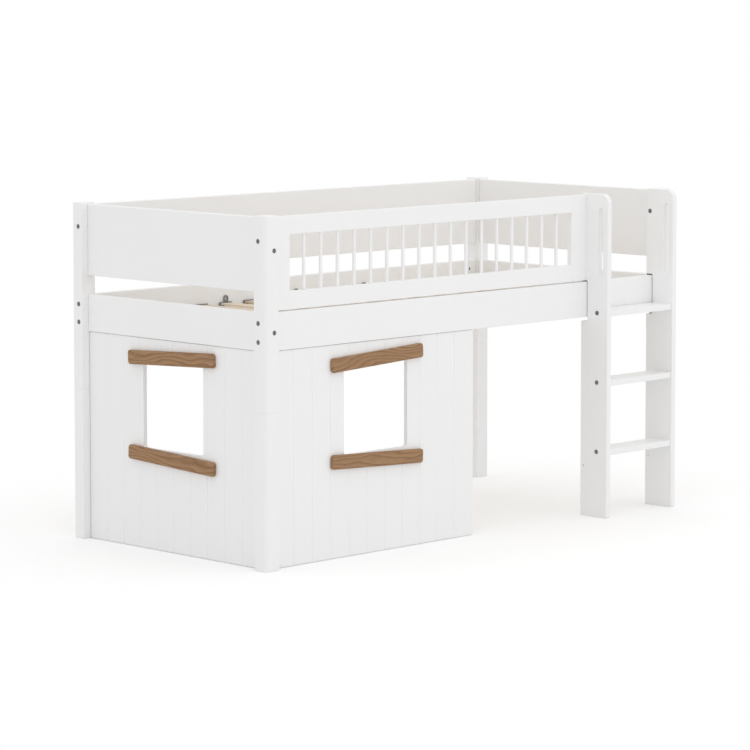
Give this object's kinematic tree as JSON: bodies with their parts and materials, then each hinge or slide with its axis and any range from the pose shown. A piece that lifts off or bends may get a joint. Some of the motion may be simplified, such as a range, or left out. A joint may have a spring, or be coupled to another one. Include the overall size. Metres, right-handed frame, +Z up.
{
  "type": "cabin bed",
  "caption": "Mid-high single bed on corner posts with a slatted base, barred guard, clip-over ladder and grooved play panels with windows.",
  "frame": {"origin": "on the floor, at the middle of the box that holds the whole bed", "axes": "+X along the bed towards the ladder end, +Y from the ladder side to the rear, +Z up"},
  "size_m": [2.11, 1.089, 1.205],
  "materials": {
    "white_lacquer": "white satin lacquer on solid wood",
    "white_panel": "white satin lacquer on grooved board",
    "oak": "oiled oak",
    "pine": "bare planed pine",
    "beech": "bare beech",
    "black_bolt": "black satin coating",
    "zinc_steel": "zinc plated",
    "grey_plastic": "moulded, matte"
  },
  "bodies": {
    "root": {"leg_front_left": "white_lacquer", "post_front_left": "white_lacquer", "leg_front_right": "white_lacquer", "post_front_right": "white_lacquer", "leg_rear_left": "white_lacquer", "post_rear_left": "white_lacquer", "leg_rear_right": "white_lacquer", "post_rear_right": "white_lacquer", "post_studs": "zinc_steel", "wood_dowels": "beech", "frame_bolts": "black_bolt", "barrel_nuts": "zinc_steel", "threaded_inserts": "zinc_steel", "rail_front": "white_lacquer", "rail_rear": "white_lacquer", "rail_left": "white_lacquer", "rail_right": "white_lacquer", "board_rear": "white_lacquer", "board_left": "white_lacquer", "board_right": "white_lacquer", "guard_top_rail": "white_lacquer", "guard_bottom_rail": "white_lacquer", "guard_left_stile": "white_lacquer", "guard_right_stile": "white_lacquer", "guard_balusters": "white_lacquer", "ladder_left_side": "white_lacquer", "ladder_right_side": "white_lacquer", "tread_lower": "white_lacquer", "tread_middle": "white_lacquer", "tread_upper": "white_lacquer", "ladder_pads": "grey_plastic", "ladder_bolts": "black_bolt", "panel_end": "white_panel", "panel_front": "white_panel", "batten_end_upper": "oak", "batten_end_lower": "oak", "batten_front_upper": "oak", "batten_front_lower": "oak", "panel_brackets": "zinc_steel", "wood_screws": "zinc_steel", "ledges": "pine", "slat_caps": "grey_plastic", "mattress_hoops": "grey_plastic", "slat_01": "pine", "slat_02": "pine", "slat_03": "pine", "slat_04": "pine", "slat_05": "pine", "slat_06": "pine", "slat_07": "pine", "slat_08": "pine", "slat_09": "pine", "slat_10": "pine", "slat_11": "pine", "slat_12": "pine", "slat_13": "pine", "slat_14": "pine", "slat_15": "pine", "slat_16": "pine", "slat_17": "pine"}
  },
  "joints": []
}
